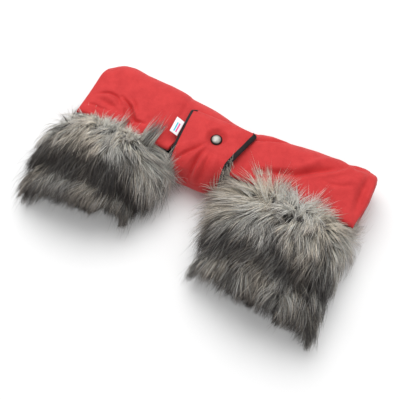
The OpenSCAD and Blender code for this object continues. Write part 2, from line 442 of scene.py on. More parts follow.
# ---------------- folded panel
GAP_LOW, GAP_HIGH = bindings_low[0] - 1.0, bindings_high[0] + 1.0
TOP_GAP_Y, BOTTOM_GAP_Y = -52.0, ROOT_Y
END_SHIFT = 5.0                      # how far both ends lie towards +X of their plain place
LIP = PANEL_T / 2                    # radius of the rounded edge where outer and inner faces meet
BEND_START, BEND_END = 0.27, 0.73    # shares of the way round the panel where the far bend starts and ends
# how far the far edge stands out beyond the plain fold, at places along the bar
FAR_EDGE = [(-BODY_END, -5), (-206, 7), (-190, 14), (-170, 13), (-148, 10.5), (-105, 8), (-62, 6.5),
            (-40, 3.5), (-18, 0), (10, -8), (34, -10), (60, -7.5), (80, -6), (92, -7.5), (115, -4),
            (150, -1.5), (185, 0), (208, 3), (BODY_END, -3)]
# the panel's folds: a path in X and Y, a width and a height
PANEL_FOLDS = [
    ([(-203, -31), (-190, -23), (-182, -22), (-175, -23), (-167, -27), (-161, -34)], 2.3, -3.0),
    ([(-198, -34), (-184, -30), (-173, -33), (-166, -40)], 4.5, 2.2),
    ([(-194, -38), (-178, -40), (-168, -41), (-157, -46)], 3.2, -2.0),
    ([(-212, -52), (-197, -49), (-186, -51), (-172, -50)], 2.2, -2.0),
    ([(-160, -25), (-154, -34), (-151, -46)], 4.5, 1.8),
    ([(-166, -20), (-153, -26), (-145, -30), (-138, -37), (-134, -43), (-127, -48), (-112, -47)],
     2.4, -6.0),
    ([(-142, -24), (-136, -33), (-129, -42)], 2.6, 1.6),
    ([(-148, -17), (-139, -25), (-131, -36)], 2.2, -2.4),
    ([(-152, -36), (-147, -42), (-141, -50)], 3.6, -2.4),
    ([(-112, -50), (-104, -34), (-96, -12)], 7.0, -1.4),
    ([(42, 0), (54, 2), (66, 7), (84, 14), (92, 18)], 2.2, -4.0),
    ([(58, -52), (74, -46), (87, -40), (102, -34), (117, -29), (130, -19), (148, -7), (172, 9)], 4.6, -6.0),
    ([(112, -18), (123, -12), (131, -4), (143, 6), (160, 20)], 5.0, 2.4),
    ([(140, -22), (150, -15), (160, -8), (173, 5), (184, 18)], 4.6, 2.4),
    ([(148, -22), (160, -25), (176, -21), (190, -12)], 3.6, -2.4),
    ([(160, -34), (176, -20), (192, 0)], 12.0, 3.0),
    ([(206, 22), (206, 7), (205, -11), (206, -28), (211, -44), (219, -58)], 7.0, -6.0),
    ([(170, 28), (184, 18), (201, 20)], 4.0, -3.0),
]
PANEL_FOLD_DEPTH = 1.35              # times the heights above
PANEL_CROWN = (4.0, 4.6)             # how far the padding swells on the left and on the right


def far_edge(x):
    """How far the far edge stands out: the flap draws it in and the left sleeve swells."""
    return np.interp(x, *zip(*FAR_EDGE))


def gap(x):
    """From 0 beside the flap to 1 under it, where the panel's near edges are cut back."""
    return smooth_step(x, GAP_LOW - 5, GAP_LOW + 1) * (1 - smooth_step(x, GAP_HIGH - 1, GAP_HIGH + 5))


def panel_frame(x, t):
    """The plain path round the folded panel at x, for t from 0 under the bar to 1 on top: Y and Z, the
    outward normal, and the distance to the nearer open edge."""
    near_top = SEAM_Y + (TOP_GAP_Y - SEAM_Y) * gap(x)
    near_bottom = SEAM_Y + (BOTTOM_GAP_Y - SEAM_Y) * gap(x)
    centre = sum(far_edge(x + d) for d in (-12, -6, 0, 6, 12)) / 5
    angle = np.clip((t - BEND_START) / (BEND_END - BEND_START), 0, 1) * math.pi - math.pi / 2
    ny, nz = np.cos(angle), np.sin(angle)
    y = centre + BODY_R * ny
    y = np.where(t < BEND_START, near_bottom + (centre - near_bottom) * t / BEND_START, y)
    y = np.where(t > BEND_END, centre + (near_top - centre) * (t - BEND_END) / (1 - BEND_END), y)
    distance = np.minimum(np.abs(t), np.abs(1 - t)) * (centre - SEAM_Y) / BEND_START
    return y, BODY_R * nz, ny, nz, distance


def crown(x, low, high, height):
    """Swell of the padding between two places along the bar."""
    share = np.abs((x - (low + high) / 2) / ((high - low) / 2))
    return np.where((x > low) & (x < high), height * np.clip(1 - share ** 4, 0, 1) ** 0.7, 0)


def panel_puff(x, y, z):
    """How far the cloth stands out from the plain folded shape."""
    up = smooth_step(z, -12, 24)
    left, right = GAP_LOW - 14, GAP_HIGH + 14
    swell = crown(x, -BODY_END, left, PANEL_CROWN[0]) + crown(x, right, BODY_END, PANEL_CROWN[1])
    under_flap = smooth_step(x, left - 6, left + 4) * (1 - smooth_step(x, right - 4, right + 6))
    folds = PANEL_FOLD_DEPTH * sum(fold(x, y, *one) for one in PANEL_FOLDS) * smooth_step(z, 2, 20)
    ripple = 0.8 * value_noise(x, y * 1.4, 3, 34) + 0.35 * value_noise(x * 1.2, y, 4, 13)
    far_ripple = 0.9 * value_noise(x, z, 5, 30) * smooth_step(y, 4, 26)
    return up * (swell - 1.2 * under_flap + folds + ripple) + far_ripple * up


def edge_depth(distance, end_distance):
    """Depth of the outer face near an open edge, where it rounds over to meet the inner face."""
    q = np.clip(np.minimum(distance, end_distance) / LIP, 0, 1)
    return LIP * (1 - np.sqrt(np.clip(1 - (1 - q) ** 2, 0, 1)))


def crowded(count, low, high, power=2.2):
    """Numbers from low to high that crowd towards both ends."""
    u = np.linspace(-1, 1, count)
    v = np.sign(u) * (1 - (1 - np.abs(u)) ** power)
    return low + (v + 1) / 2 * (high - low)


def panel_grid(x_values, t_values, inner):
    """Points of the outer or the inner face of the folded panel, whose ends lie a little askew."""
    x, t = np.meshgrid(x_values, t_values, indexing="ij")
    y, z, ny, nz, distance = panel_frame(x, t)
    end_distance = BODY_END - np.abs(x)
    round_over = edge_depth(distance, end_distance)
    if inner:
        depth = PANEL_T - round_over
        rise = 0.25 * value_noise(x, y, 7, 16)
    else:
        depth = round_over
        fade = np.clip(np.minimum(distance, end_distance) / 16, 0, 1) ** 0.5
        rise = panel_puff(x, y, z) * fade
    out = rise - depth
    far = 0.35 + 0.65 * smooth_step(y, SEAM_Y, -20)
    sideways = END_SHIFT * np.where(x > 0, 2 * far, 0.8 + 0.6 * far) * smooth_step(np.abs(x), 60, BODY_END)
    points = np.stack([x + sideways, y + ny * out, z + nz * out], -1)
    points[..., 2] = np.maximum(points[..., 2], FLOOR + 0.05)
    return points


def build_panel():
    """The panel's cloth over its wadding, the fleece inside it, and a hem at each end."""
    nx, nt = ((300, 75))
    xs = crowded(nx, -BODY_END, BODY_END, 1.2)
    ts = np.concatenate([BEND_START * np.linspace(0, 1, nt // 3)[:-1] ** 1.5,
                         np.linspace(BEND_START, BEND_END, nt * 2 // 3)[:-1],
                         1 - BEND_START * np.linspace(1, 0, nt) ** 1.15])
    shell = sheet_object("sleeve_shell", panel_grid(xs, ts, False)[::-1], 1.0, RED)
    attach(shell, "muff")
    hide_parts("outer_shell", "wadding")
    lining = sheet_object("sleeve_lining", panel_grid(xs, ts, True), 0.9, FLEECE)
    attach(lining, "muff")
    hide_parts("fleece_lining")
    for side, node in ((-1, "left_end_hem"), (1, "right_end_hem")):
        build_hem(side, node)


def build_hem(side, node):
    """Band of shell cloth turned in round an open end."""
    band = 11.0
    xs = side * np.linspace(BODY_END - band, BODY_END - 0.2, 16)
    ts = np.linspace(0.012, 0.988, 90)
    grid = panel_grid(xs, ts, True)
    n = normals_of(grid)
    angle = (ts - 0.5) * math.pi / (BEND_END - BEND_START)
    outward = np.sign(n[..., 1] * np.cos(angle) + n[..., 2] * np.sin(angle))
    grid = grid - n * 0.35 * outward[..., None]
    if side > 0:
        grid = grid[::-1]
    hem = sheet_object(node + "_cloth", grid, 0.6, RED)
    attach(hem, "muff")
    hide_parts(node)


# ---------------- flap
FLAP_START = ROOT_Y - math.pi * ROOT_R      # unrolled distance of the wrap's lower end
FLAP_CORNER = 5.0                           # radius of the flap's free corners
FLAP_INSET = FLAP_T / 2 + 1.0               # from the binding's outer edge in to the cloth
TAPE_T = 0.35                               # how far the binding tape stands off the cloth
# the flap's folds: a path in X and unrolled distance, a width and a height
FLAP_FOLDS = [
    ([(-13, -44), (-22, -56), (-37, -71), (-46, -84)], 3.0, -3.6),
    ([(-20, -40), (-34, -54), (-48, -64)], 5.0, 1.8),
    ([(-8, -46), (-13, -64), (-16, -88), (-22, -106)], 3.0, -3.8),
    ([(-14, -52), (-24, -74), (-31, -98)], 4.5, 2.8),
    ([(-6, -62), (-9, -82), (-10, -108)], 4.0, 3.2),
    ([(1, -54), (0, -76), (-1, -104)], 3.4, -2.8),
    ([(8, -52), (12, -76), (14, -104)], 5.0, 1.6),
    ([(12, -46), (22, -66), (26, -92)], 4.5, -1.6),
    ([(-28, -84), (-27, -104), (-24, -126)], 6.0, -3.2),
    ([(-3, -18), (4, -8), (14, 0)], 6.0, -1.6),
    ([(-14, -22), (-26, -14), (-44, -10)], 6.0, -0.9),
    ([(8, -24), (22, -18), (38, -16)], 5.0, -0.8),
]
FLAP_FOLD_DEPTH = 1.3                       # times the heights above
FLAP_PUFF = 6.8                             # how far the padding swells
STUD_SINK = 1.4                             # how far the stud draws the cloth down
LABEL_WIDTH, LABEL_LENGTH = 12.5, 25.0      # of the folded ribbon
LABEL_FOOT_X = -56.5                        # where it is sewn down
LABEL_OUT = (0.93, 0.10, 0.36)              # its way outwards, along and up


def flap_edge(side, yu):
    """X of the flap's left (-1) or right (1) edge at an unrolled distance yu, its free corner rounded."""
    root, end = FLAP_SIDES[side]
    k = np.clip((yu - HINGE[1]) / (FLAP_REACH - HINGE[1]), 0, 1)
    c = np.clip((yu - (FLAP_REACH - FLAP_CORNER)) / FLAP_CORNER, 0, 1)
    return root + (end - root) * k - side * FLAP_CORNER * (1 - np.sqrt(1 - c * c))


def flap_across(a, yu, inset):
    """X at a share a, from -1 to 1, across the flap drawn in by inset at both sides."""
    left, right = flap_edge(-1, yu) + inset, flap_edge(1, yu) - inset
    return (left + right) / 2 + a * (right - left) / 2


def flap_base(yu):
    """Point and outward normal in the Y-Z plane on the flap's plain outer face."""
    along = yu - ROOT_Y
    angle = math.pi / 2 + np.clip(-along / ROOT_R, 0, math.pi)
    flat = along >= 0
    y = np.where(flat, yu, ROOT_Y + ROOT_R * np.cos(angle))
    z = np.where(flat, FLAP_TOP, ROOT_Z + ROOT_R * np.sin(angle))
    return y, z, np.where(flat, 0.0, np.cos(angle)), np.where(flat, 1.0, np.sin(angle))


def flap_lift(x, yu):
    """How far the whole flap stands off its plain shape. It droops at its end and lifts near right."""
    droop = -3.6 * smooth_step(yu, FLAP_REACH - 26, FLAP_REACH + 4)
    turned = smooth_step(-yu, 62, 100) * smooth_step(yu, FLAP_START + 20, FLAP_START + 60)
    droop = droop - (4.5 + 5.0 * smooth_step(x, -10, 28)) * turned
    right = smooth_step(x, FLAP_X + 16, FLAP_X + 52) * np.exp(-((yu + 50) / 20) ** 2)
    left = smooth_step(-x, -FLAP_X + 20, -FLAP_X + 50) * np.exp(-((yu + 66) / 22) ** 2)
    sway = 0.6 * value_noise(x, yu, 21, 30) * smooth_step(np.hypot(x - SNAP[0], yu - SNAP[1]), 10, 30)
    return droop + 3.4 * right - 1.5 * left + sway


def flap_puff(x, yu):
    """How far the flap's outer cloth stands out: padding, a dimple at the stud and folds from it."""
    left, right = flap_edge(-1, yu) + 2, flap_edge(1, yu) - 2
    a = np.clip((2 * x - left - right) / (right - left), -1, 1)
    end = np.clip((FLAP_REACH - yu) / 12, 0, 1) ** 0.5
    pillow = (1 - np.abs(a) ** 5) * end
    r = np.hypot(x - SNAP[0], yu - SNAP[1])
    dimple = smooth_step(r, 6.5, 18.0)
    folds = FLAP_FOLD_DEPTH * sum(fold(x, yu, *one) for one in FLAP_FOLDS) * (1 - np.abs(a) ** 8) * end
    ripple = 0.45 * value_noise(x, yu, 22, 17) + 0.25 * value_noise(x, yu, 23, 8)
    return (FLAP_PUFF * pillow + folds + ripple * end) * dimple - STUD_SINK * (1 - dimple)


def flap_grid(x, yu, height):
    """Points at a height above the flap's plain outer face."""
    y, z, ny, nz = flap_base(yu)
    out = height + flap_lift(x, yu)
    points = np.stack([x, y + ny * out, z + nz * out], -1)
    points[..., 2] = np.maximum(points[..., 2], FLOOR + 0.05)
    return points


def bend_with_flap(obj):
    """Bake the object's placement into its mesh."""
    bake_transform(obj)


def build_flap():
    """The flap's cloth, rolled under at its free edge, the fleece on its underside, and the binding."""
    nu, nx = ((260, 120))
    roll = FLAP_T / 2
    turn = np.linspace(0, math.pi, 13)[1:]
    tucked = np.array([1.5, 3.0])                       # the cloth turned in under the free edge
    yu = np.concatenate([np.linspace(FLAP_START + 1, FLAP_REACH - roll, nu),
                         FLAP_REACH - roll + roll * np.sin(turn), FLAP_REACH - roll - tucked])
    drop = np.concatenate([np.zeros(nu), roll * (1 - np.cos(turn)), [FLAP_T + 0.5] * len(tucked)])
    a = np.sin(np.linspace(-math.pi / 2, math.pi / 2, nx)) * 0.25 + np.linspace(-1, 1, nx) * 0.75
    yu, drop = np.repeat(yu[:, None], nx, 1), drop[:, None]
    x = flap_across(a, yu, FLAP_INSET)
    puff = flap_puff(x, yu) * (drop < roll)
    cloth = sheet_object("flap_cloth", flap_grid(x, yu, puff - drop)[::-1], 0.9, RED)
    bend_with_flap(cloth)
    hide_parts("flap_shell", "flap_root_shell", "flap_wadding", "flap_root_wadding")

    yu = np.repeat(np.linspace(FLAP_START + 1, FLAP_REACH - 3.2, nu)[:, None], nx, 1)
    x = flap_across(a, yu, FLAP_INSET)
    under = -FLAP_T + 0.8 + 0.25 * value_noise(x, yu, 24, 12)
    fleece = sheet_object("flap_fleece", flap_grid(x, yu, under)[:, ::-1], 0.8, FLEECE)
    bend_with_flap(fleece)
    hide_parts("flap_lining", "flap_root_lining")

    for side, node in ((-1, "flap_binding_left"), (1, "flap_binding_right")):
        build_flap_tape(side, node)


def build_flap_tape(side, node):
    """Binding tape folded over one side of the flap, round its free corner and a little past it."""
    count = 260
    straight = np.linspace(FLAP_START + 1, FLAP_REACH - FLAP_CORNER, count)
    edge = side * flap_edge(side, straight)
    root, end = FLAP_SIDES[side]
    slope = side * (end - root) / (FLAP_REACH - HINGE[1])
    flare = np.where(straight > HINGE[1], math.atan(slope), 0.0)
    turn = np.linspace(0, math.pi / 2, 14)[1:]
    corner = side * flap_edge(side, FLAP_REACH - FLAP_CORNER) - FLAP_CORNER
    corner_x = corner + FLAP_CORNER * np.cos(turn)
    corner_y = FLAP_REACH - FLAP_CORNER + FLAP_CORNER * np.sin(turn)
    tail = np.linspace(0, 5.5 if side < 0 else 1.5, 6)[1:]
    x = np.concatenate([edge, corner_x, corner - tail])
    yu = np.concatenate([straight, corner_y, np.full(5, FLAP_REACH)])
    out_x = np.concatenate([np.cos(flare), np.cos(turn), np.zeros(5)])
    out_y = np.concatenate([-np.sin(flare), np.sin(turn), np.ones(5)])
    size = np.ones(len(x))                              # of the tape's legs, which narrow at its end
    size[-9:] = np.linspace(1, 0.25, 9)
    bend = np.linspace(0, math.pi, 13)
    leg = np.array([1.0, 0.7, 0.4, 0.2]) * (1.9 if side > 0 else 1.4)
    radius = FLAP_T / 2
    offset = np.concatenate([-radius - leg, -radius + radius * np.sin(bend), -radius - leg[::-1]])
    level = np.concatenate([np.ones(4), np.cos(bend), -np.ones(4)])
    o = offset[None, :] * np.where(offset[None, :] < -radius, size[:, None], 1.0)
    xs = side * (x[:, None] + out_x[:, None] * o)
    ys = yu[:, None] + out_y[:, None] * o
    top = flap_puff(xs, ys) + TAPE_T
    bottom = -FLAP_T - TAPE_T
    height = (top + bottom) / 2 + (top - bottom) / 2 * level[None, :]
    grid = flap_grid(xs, ys, height)
    if side > 0:
        grid = grid[:, ::-1]
    tape = sheet_object(node + "_tape", grid, 0.6, BINDING)
    bend_with_flap(tape)
    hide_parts(node)
    if side < 0:
        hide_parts("flap_root_bindings")


def build_snap():
    """The stud's domed cap. The hidden half of the stud keeps its CAD shape."""
    centre = (SNAP[0], SNAP[1], FLAP_TOP)
    r = (cap_high[0] - cap_low[0]) / 2
    profile = [(0, 3.30), (1.2, 3.27), (2.4, 3.18), (3.6, 3.00), (4.8, 2.70), (5.8, 2.34), (6.7, 1.90),
               (7.4, 1.42), (7.9, 0.94), (8.05, 0.74), (8.2, 0.70), (8.4, 0.66), (r, 0.50), (r, 0.30),
               (8.3, 0.08), (7.9, -0.02), (7.0, -0.25), (0, -0.25)]
    cap = lathe("snap_cap_dome", profile, centre, CAP_NICKEL)
    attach(cap, "flap")
    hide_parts("snap_cap")
    for node in ("snap_socket", "snap_stud", "snap_rivet"):
        obj = frame["nodes"][node]
        obj.data.materials.clear()
        obj.data.materials.append(NICKEL)


def build_label():
    """A short ribbon folded double, sewn over the flap's left edge and standing a little outwards."""
    fold_r = 0.45
    rows, cols = 34, 30
    out = np.linspace(0, LABEL_WIDTH, rows)
    upper = np.stack([out, np.full(rows, fold_r)], -1)
    bend = np.linspace(math.pi / 2, -math.pi / 2, 9)[1:-1]
    nose = np.stack([LABEL_WIDTH + fold_r * np.cos(bend), fold_r * np.sin(bend)], -1)
    lower = np.stack([out[::-1], np.full(rows, -fold_r)], -1)
    section = np.vstack([upper, nose, lower])
    across = np.linspace(-LABEL_LENGTH / 2, LABEL_LENGTH / 2, cols)
    reach = np.repeat(section[:, 0:1], cols, 1)
    arch = 0.012 * reach * (LABEL_WIDTH - reach) + 0.35 * np.sin(across / 7.5) * reach / LABEL_WIDTH
    sideways, along, rise = LABEL_OUT
    x = LABEL_FOOT_X - reach * sideways
    y = LABEL_MIDDLE + reach * along + across
    z = FLAP_TOP + 1.7 + reach * rise + section[:, 1:2] + arch
    label = sheet_object("side_label_ribbon", np.stack([x, y, z], -1)[:, ::-1], 0.25, RIBBON)
    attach(label, "flap")
    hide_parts("side_label")


# ---------------- fur cuffs
SQUARENESS = 2.7                     # of a cuff's oval section
GATHERS = 46                         # small folds round a cuff's hem
HEM_R = 3.0                          # radius of the hem's turned-in edge
PILE_LENGTH = 40.0
SPIKES_X = (-139.0, -98.0)           # where tufts stand up at the left cuff's seam
SPIKES_WIDE = (4.0, 12.0)
SPIKES_TALL = (0.7, 1.0)
TIP_LIMITS = ((2, 1, 46.0), (1, -1, 237.0), (0, 1, 240.0))       # axis, sign and place: tips keep within
TUFTS = 190                          # on each cuff
STRANDS, LOCK_STRANDS = ((20000, 8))       # on each cuff, and in one lock
ALONG = np.linspace(0, 1, 6)         # points of a strand from its root to its tip
TAPER = np.array([0.9, 1.0, 0.95, 0.8, 0.5])                     # thickness at all of them but the tip
SIDES = 3                            # of a strand's section
SHADES = 64                          # columns of the pile's map, for warm strands and again for cool ones

# tuck: how far the outer side is drawn in at the seam and at the hem; taper: the inner side at the hem
# bulge, shoulder: how far the inner side stands out just past the seam and at it
# slant: share of the cuff's length at its middle, and the change of it towards +X
# back_*: of the pile that lies back over the panel, its reach, sideways lie, and losses of lift and length
# corner, end: lie added at the seam next to the flap and at the far end of the bar
# belt: shade of the pile from 0 dark to 1 light, at places from the seam to the hem
CUFF_SHAPES = {
    "left": SimpleNamespace(
        seed=11, towards=1.0, tuck=(9.0, 14.0), taper=24.0, bulge=4.0, shoulder=0.0, slant=(0.965, -0.11),
        back_reach=26, back_side=-0.1, back_flat=0.45, back_short=0.44, back_inner=0.6,
        corner=(1.8, 0.2, 0), end=(-1.3, 0.5, 0),
        belt=[(0, 1.02), (0.10, 0.96), (0.22, 0.54), (0.42, 0.32), (0.52, -0.08), (0.76, -0.11),
              (0.86, 0.19), (0.94, 0.24), (1, 0.0)]),
    "right": SimpleNamespace(
        seed=12, towards=-1.0, tuck=(-3.0, -2.0), taper=6.0, bulge=6.0, shoulder=5.0, slant=(0.98, 0.10),
        back_reach=33, back_side=0.3, back_flat=0.1, back_short=0.02, back_inner=0.0,
        corner=(-1.1, 0.75, 0), end=(2.2, 0.5, 0),
        belt=[(0, 1.08), (0.10, 1.03), (0.22, 0.55), (0.42, 0.36), (0.52, 0.05), (0.66, 0.03),
              (0.76, 0.33), (0.93, 0.24), (1, -0.03)]),
}


class Cuff:
    """One cuff's backing, with turn from 0 to 1 round it and w from 0 at the seam to 1 at the hem."""

    def __init__(self, side):
        self.side, self.shape, self.seed = side, CUFF_SHAPES[side], CUFF_SHAPES[side].seed
        low, high = box_mm(side + "_cuff_backing")
        self.x = (low[0] + high[0]) / 2
        self.half = (high[0] - low[0]) / 2
        self.length = high[1] - low[1]
        self.turns = np.linspace(0, 1, 2001)
        ring, _ = self.surface(self.turns, np.full_like(self.turns, 0.4))
        self.arc = np.concatenate([[0], np.cumsum(np.linalg.norm(np.diff(ring, axis=0), axis=1))])
        self.around = self.arc[-1]

    def even_turn(self, u):
        """The turn at a share u of the way round, measured along the cloth."""
        return np.interp(u * self.around, self.arc, self.turns)

    def surface(self, turn, w, inset=0.0):
        """Points and outward normals, drawn in by inset."""
        shape = self.shape
        c, s = np.cos(2 * math.pi * turn), np.sin(2 * math.pi * turn)
        power = 2 / SQUARENESS
        within = np.clip(w, 0, 1)
        swell = np.sin(math.pi * within)
        outer = 5.0 * swell - shape.tuck[0] * (1 - smooth_step(w, 0, 0.35)) - shape.tuck[1] * w ** 4
        inner = 7.0 + 2.0 * swell - shape.taper * within ** 2
        inner = inner + shape.bulge * (smooth_step(w, 0.02, 0.12) * (1 - smooth_step(w, 0.14, 0.4)))
        inner = inner + shape.shoulder * (1 - smooth_step(w, 0.1, 0.4))
        half = self.half + 3.0 + np.where(c * shape.towards > 0, inner, outer) - inset
        up = BODY_R - 1.5 + 3.5 * swell - 8.0 * within ** 2 - inset
        down = BODY_R - 1.2 - 2.5 * within ** 2 - inset
        height = np.where(s > 0, up, down)
        x = self.x + half * np.sign(c) * np.abs(c) ** power
        z = height * np.sign(s) * np.abs(s) ** power
        slant = shape.slant[0] + shape.slant[1] * c
        y = SEAM_Y - w * self.length * (1 + (slant - 1) * within)
        nx = np.sign(c) * np.abs(c) ** (2 - power) / half
        nz = np.sign(s) * np.abs(s) ** (2 - power) / height
        return np.stack([x, y, z], -1), unit(np.stack([nx, np.zeros_like(nx), nz], -1))

    def inner_side(self, roots, w):
        """From 0 to 1 where the pile hangs towards the flap."""
        fan = (roots[:, 0] - self.x) / self.half * self.shape.towards
        return smooth_step(fan, 0.3, 0.95) * (1 - smooth_step(w, 0.35, 0.75))

    def directions(self, hair):
        """Lie of the pile at each root: along the cuff, fanned out, and turned back by each one's back."""
        shape, roots, normals, w = self.shape, hair.roots, hair.normals, hair.w
        reach = w * self.length
        fan = (roots[:, 0] - self.x) / self.half
        spread = 0.36 * (1 - 0.9 * smooth_step(w, 0.6, 1.0)) + 0.75 * (1 - smooth_step(w, 0.05, 0.45))
        spread = spread * (1 + 1.1 * self.inner_side(roots, w))
        lie = np.stack([spread * fan * np.abs(fan) ** 0.7, -np.ones(len(w)), np.zeros(len(w))], -1)
        swirl = 0.34 * value_noise(roots[:, 0], roots[:, 1] - roots[:, 2], self.seed + 1, 30) + hair.angle
        lie = lie * np.cos(swirl)[:, None] + np.cross(normals, lie) * np.sin(swirl)[:, None]
        lie[:, 1] *= 1 - 1.75 * hair.back
        lie[:, 0] += shape.back_side * hair.back
        corner = self.inner_side(roots, w) * (1 - smooth_step(reach, 5, 45))
        end = smooth_step(-fan * shape.towards, 0.55, 1.0) * (1 - smooth_step(reach, 5, 40))
        lie = lie + corner[:, None] * np.array(shape.corner)
        lie = lie + end[:, None] * np.array(shape.end)
        return lie - normals * (lie * normals).sum(1, keepdims=True)

    def paths(self, hair):
        """Points along each strand, which lifts at its root, bends to its lie and droops to its tip."""
        lie = self.directions(hair)
        centre = np.where(hair.roots[:, 0] < np.mean(SPIKES_X), *SPIKES_X)
        aside = 0.2 + np.sin(9 * hair.angle) * 0.24 - 0.020 * (hair.roots[:, 0] - centre)
        upright = np.stack([aside, np.full(len(aside), 1.0), np.full(len(aside), 0.22)], -1)
        lie = np.where(hair.spike[:, None], upright, lie)
        under = smooth_step(-hair.normals[:, 2], 0.2, 0.8)
        lift = hair.lift * (1 - 0.8 * under) * (1 - self.shape.back_flat * hair.back)
        points = [hair.roots]
        for start, end in zip(ALONG[:-1], ALONG[1:]):
            t = (start + end) / 2
            step = (hair.normals * (lift * (1 - t) ** 1.5)[:, None] + lie * (0.45 + 0.65 * t)
                    + np.array([0, 0, -0.30 * t]))
            points.append(points[-1] + unit(step) * (hair.length * (end - start))[:, None])
        return np.stack(points, 1)


def scatter(cuff, rng, count):
    """Roots over the backing, thicker at the hem and the seam and thinner beneath."""
    u = rng.random(count * 2)
    w = rng.random(count * 2)
    edge = rng.random(count * 2)
    w = np.where(edge < 0.16, 1 - 0.10 * rng.random(count * 2), w)
    w = np.where(edge > 0.90, 0.07 * rng.random(count * 2), w)
    turn = cuff.even_turn(u)
    beneath = np.sin(2 * math.pi * turn) < -0.3
    keep = rng.random(count * 2) < np.where(beneath, 0.35, 1.0)
    picked = np.flatnonzero(keep)[:count]
    return turn[picked], w[picked]


def nearest(points, centres):
    """Index of the nearest centre to each point, in blocks that fit in memory."""
    blocks = np.array_split(points, math.ceil(len(points) / 2000))
    return np.concatenate([((block[:, None] - centres) ** 2).sum(-1).argmin(1) for block in blocks])


def rest_on_flap(path, spread):
    """Strands that would pass through the flap or its wrap lie on its outer face instead."""
    x, y, z = path[..., 0], path[..., 1], path[..., 2]
    over = (x > FLAP_SIDES[-1][0] - 1.5) & (x < FLAP_SIDES[1][0] + 1.5)
    wrap = ROOT_R + 1.0 + 3.0 * spread
    distance = np.hypot(y - ROOT_Y, z - ROOT_Z)
    around = over & (y < ROOT_Y) & (distance < wrap)
    scale = np.where(around, wrap / np.maximum(distance, 1e-6), 1.0)
    flat = over & (y >= ROOT_Y) & (z > 0)
    new_y = ROOT_Y + (y - ROOT_Y) * scale
    new_z = np.where(flat, np.maximum(z, FLAP_TOP + 2.5 + 3.0 * spread), ROOT_Z + (z - ROOT_Z) * scale)
    return np.stack([x, new_y, new_z], -1)


def place_tufts(cuff, rng):
    """Places that the locks near them draw together at, each with its own turn, shade and length."""
    at, _ = cuff.surface(*scatter(cuff, rng, TUFTS))
    return SimpleNamespace(at=at, angle=rng.normal(0, 0.2, TUFTS), shade=rng.normal(0, 0.07, TUFTS),
                           length=rng.uniform(0.84, 1.16, TUFTS))


def comb_locks(cuff, rng, count, tufts):
    """Locks of hair: where each starts, how it lies and how long it is, drawn towards its tuft."""
    shape = cuff.shape
    turn, w = scatter(cuff, rng, count)
    roots, normals = cuff.surface(turn, w)
    tuft = nearest(roots, tufts.at)
    reach = w * cuff.length
    loose = 2 - smooth_step(reach, 4, 30)
    angle = tufts.angle[tuft] + rng.normal(0, 0.2, count) * loose
    lift = rng.uniform(0.5, 1.0, count)
    turning = np.clip(0.42 + 0.35 * value_noise(roots[:, 0], roots[:, 2], cuff.seed + 8, 9)
                      + rng.normal(0, 0.36, count), 0.05, 1)
    near_spike = sum(np.abs(roots[:, 0] - x) < wide for x, wide in zip(SPIKES_X, SPIKES_WIDE)) > 0
    spike = near_spike & (reach < 13) & (normals[:, 2] > 0.7) & (rng.random(count) < 0.62)
    inner = cuff.inner_side(roots, w)
    outer = smooth_step(-shape.towards * (roots[:, 0] - cuff.x) / cuff.half, 0.5, 1.0)
    beneath = smooth_step(-normals[:, 2], 0.1, 0.7)
    back = smooth_step(shape.back_reach * turning - reach, -6, 6) * (1 - shape.back_inner * inner)

    length = PILE_LENGTH * tufts.length[tuft] * rng.uniform(0.76, 1.2, count)
    length = length * (1 - shape.back_short * back * (1 - inner)) * (1 - 0.45 * beneath) * (1 + 0.5 * inner)
    length = length * (1 + 0.2 * smooth_step(w, 0.85, 0.95))
    tall = np.where(roots[:, 0] < np.mean(SPIKES_X), *SPIKES_TALL)
    length = np.where(spike, PILE_LENGTH * rng.uniform(0.6, 1.45, count) * tall, length)
    length = length * (1 + 0.2 * outer * (1 - smooth_step(w, 0.3, 0.6)))

    locks = SimpleNamespace(roots=roots, normals=normals, w=w, angle=angle, back=back, lift=lift,
                            length=length, spike=spike, tuft=tuft)
    path = cuff.paths(locks)
    leader = nearest(tufts.at, roots)[tuft]
    drawn = np.where(w > 0.8, 0.45, 0.20) * smooth_step(w, 0.12, 0.3)
    locks.path = path - (path - path[leader]) * (drawn[:, None] * ALONG ** 1.5)[..., None]
    return locks


